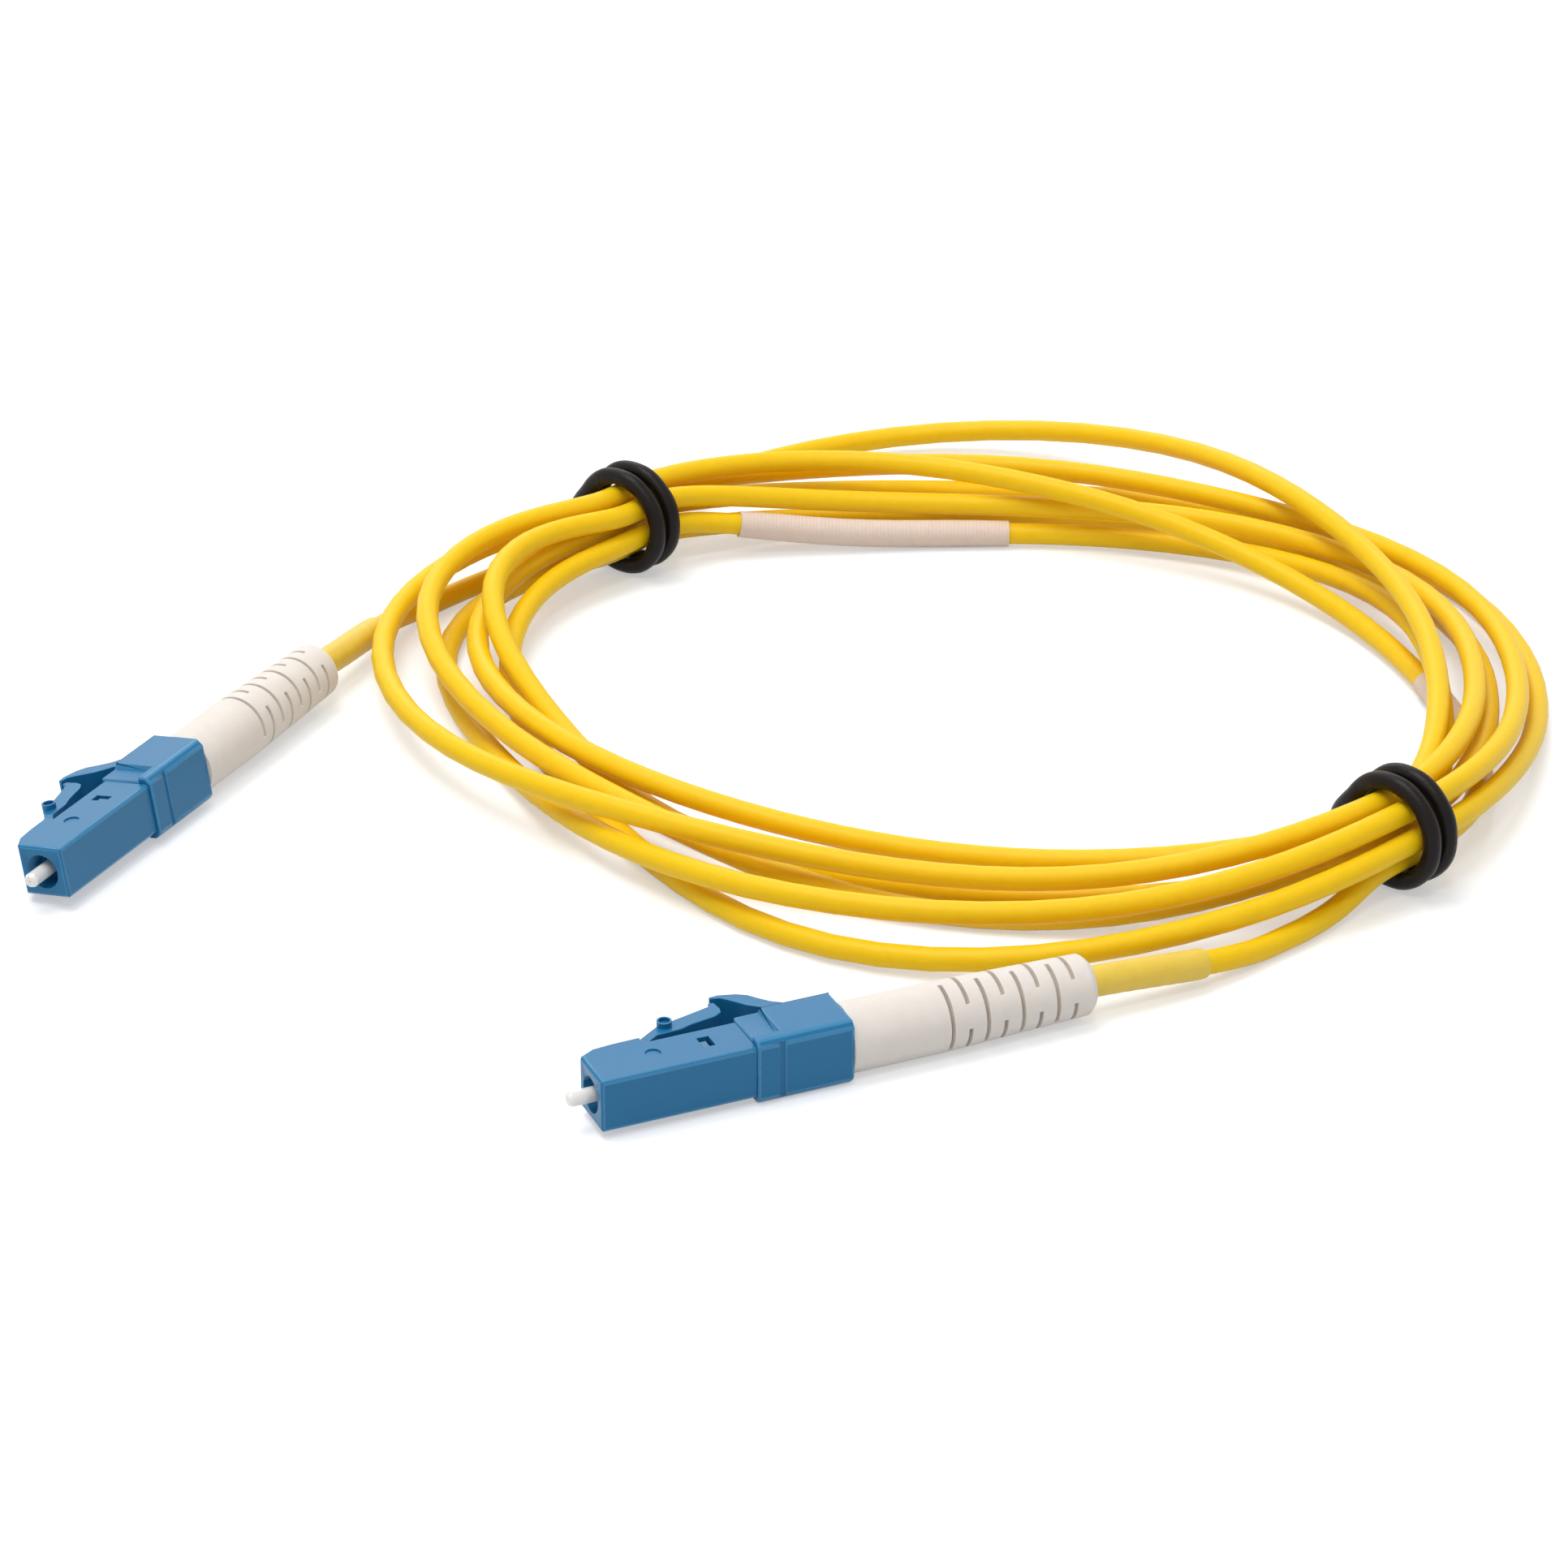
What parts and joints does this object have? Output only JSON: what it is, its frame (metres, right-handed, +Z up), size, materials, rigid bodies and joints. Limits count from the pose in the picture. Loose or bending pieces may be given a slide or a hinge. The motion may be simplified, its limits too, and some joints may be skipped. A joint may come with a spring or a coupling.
{
  "type": "fiber optic patch cord",
  "caption": "Coiled yellow fiber patch cord with a blue latching small-form plug, white slotted boot and shrink sleeve at each end, held by doubled black rubber rings.",
  "frame": {"origin": "centre of the bounding box, at the floor that the cord lies on", "axes": "+Z up from the floor, +X to the right and -Y towards the viewer of the picture; plug b lies at the front and plug a at the left"},
  "size_m": [0.1306, 0.1288, 0.0104],
  "materials": {
    "jacket_yellow": "satin",
    "sleeve_yellow": "satin",
    "ring_rubber": "satin",
    "label_film": "matte",
    "housing_blue": "satin",
    "boot_white": "matte",
    "ferrule_ceramic": "polished",
    "flange_steel": "satin",
    "spring_steel": "satin",
    "crimp_nickel": "satin",
    "crimp_steel": "satin",
    "buffer_plastic": "satin"
  },
  "bodies": {
    "cord": {"coil": "jacket_yellow", "lead_a": "jacket_yellow", "lead_b": "jacket_yellow", "tie_left": "ring_rubber", "tie_right": "ring_rubber", "label_a": "label_film", "label_b": "label_film", "front_housing_a": "housing_blue", "rear_housing_a": "housing_blue", "spring_a": "spring_steel", "crimp_body_a": "crimp_nickel", "crimp_ring_a": "crimp_steel", "boot_a": "boot_white", "jacket_a": "jacket_yellow", "sleeve_a": "sleeve_yellow", "front_housing_b": "housing_blue", "rear_housing_b": "housing_blue", "spring_b": "spring_steel", "crimp_body_b": "crimp_nickel", "crimp_ring_b": "crimp_steel", "boot_b": "boot_white", "jacket_b": "jacket_yellow", "sleeve_b": "sleeve_yellow"},
    "trigger_a": {"trigger_a": "housing_blue"},
    "latch_a": {"latch_a": "housing_blue"},
    "ferrule_a": {"ferrule_a": "ferrule_ceramic", "flange_a": "flange_steel", "buffer_a": "buffer_plastic"},
    "trigger_b": {"trigger_b": "housing_blue"},
    "latch_b": {"latch_b": "housing_blue"},
    "ferrule_b": {"ferrule_b": "ferrule_ceramic", "flange_b": "flange_steel", "buffer_b": "buffer_plastic"}
  },
  "joints": [
    {"name": "trigger_a_hinge", "type": "hinge", "parent": "cord", "child": "trigger_a", "pos_m": [-0.05746, -0.01115, 0.00278], "axis": [-0.1386, 0.0725, 0.9877], "range_deg": [0, 14], "stiffness_Nm_per_rad": 0.1},
    {"name": "latch_a_hinge", "type": "hinge", "parent": "cord", "child": "latch_a", "pos_m": [-0.06315, -0.02182, 0.00276], "axis": [0.1386, -0.0725, -0.9877], "range_deg": [0, 10]},
    {"name": "ferrule_a_slide", "type": "slide", "parent": "cord", "child": "ferrule_a", "axis": [0.4633, 0.8862, 0], "range_m": [0, 0.001], "stiffness_N_per_m": 1000, "deforming": ["spring_a"]},
    {"name": "trigger_b_hinge", "type": "hinge", "parent": "cord", "child": "trigger_b", "pos_m": [-0.00217, -0.05302, 0.00285], "axis": [0, 0, 1], "range_deg": [0, 14], "stiffness_Nm_per_rad": 0.1},
    {"name": "latch_b_hinge", "type": "hinge", "parent": "cord", "child": "latch_b", "pos_m": [-0.01329, -0.05779, 0.00285], "axis": [0, 0, -1], "range_deg": [0, 10]},
    {"name": "ferrule_b_slide", "type": "slide", "parent": "cord", "child": "ferrule_b", "axis": [0.9157, 0.4019, 0], "range_m": [0, 0.001], "stiffness_N_per_m": 1000, "deforming": ["spring_b"]}
  ],
  "couplings": [
    {"joint": "latch_a_hinge", "follows": "trigger_a_hinge", "ratio": 0.714},
    {"joint": "latch_b_hinge", "follows": "trigger_b_hinge", "ratio": 0.714}
  ]
}
